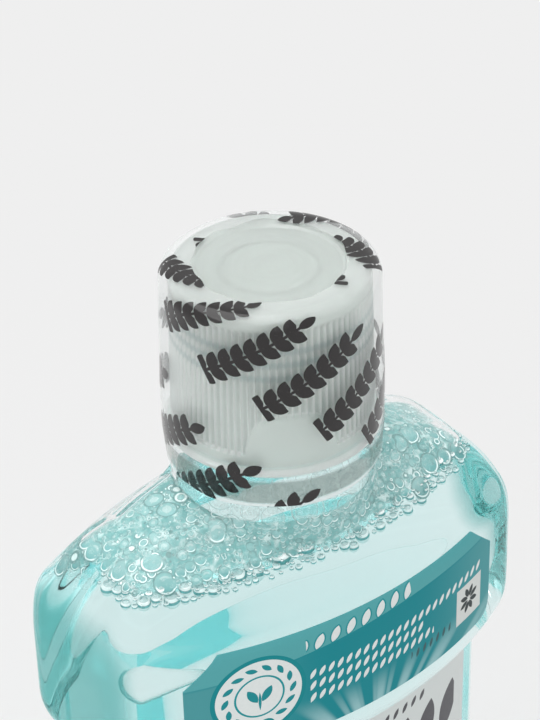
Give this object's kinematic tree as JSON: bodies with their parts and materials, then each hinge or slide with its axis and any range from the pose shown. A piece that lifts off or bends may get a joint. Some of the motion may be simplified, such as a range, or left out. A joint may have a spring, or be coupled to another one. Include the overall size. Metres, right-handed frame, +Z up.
{
  "type": "mouthwash bottle",
  "caption": "Clear flask-shaped bottle of pale teal mouthwash with a waist, front labels, a ribbed frosted screw cap with a measuring cup inside, and a clear tamper sleeve.",
  "frame": {"origin": "middle of the foot, on the plane that the bottle stands on", "axes": "+Z up along the neck, -Y towards the front labels, +X to the right of a viewer who faces the labels"},
  "size_m": [0.0966, 0.0572, 0.192],
  "materials": {
    "clear_bottle": "clear blown plastic",
    "pale_teal_liquid": "clear pale teal liquid",
    "clear_bubbles": "clear bubbles",
    "frosted_cap": "frosted, see-through",
    "frosted_cup": "frosted, see-through",
    "white_liner": "matt foamed plastic",
    "clear_film": "clear glossy film with charcoal motifs",
    "teal_label": "printed satin film",
    "silver_label": "silvery satin film"
  },
  "bodies": {
    "bottle": {"bottle": "clear_bottle", "mouthwash": "pale_teal_liquid", "foam": "clear_bubbles", "label_upper": "teal_label", "label_lower": "silver_label"},
    "liner": {"cap_liner": "white_liner"},
    "cap": {"cap_shell": "frosted_cap", "cap_cup": "frosted_cup"},
    "sleeve": {"shrink_sleeve": "clear_film"}
  },
  "joints": [
    {"name": "cap_lift", "type": "slide", "parent": "bottle", "child": "liner", "axis": [0, 0, 1], "range_m": [0, 0.0241]},
    {"name": "cap_turn", "type": "hinge", "parent": "liner", "child": "cap", "pos_m": [0, 0, 0.17], "axis": [0, 0, 1], "range_deg": [0, 1440]},
    {"name": "sleeve_lift", "type": "slide", "parent": "cap", "child": "sleeve", "axis": [0, 0, 1], "range_m": [0, 0.041]}
  ],
  "couplings": [
    {"joint": "cap_lift", "follows": "cap_turn", "m_per_rad": 0.00095493}
  ]
}
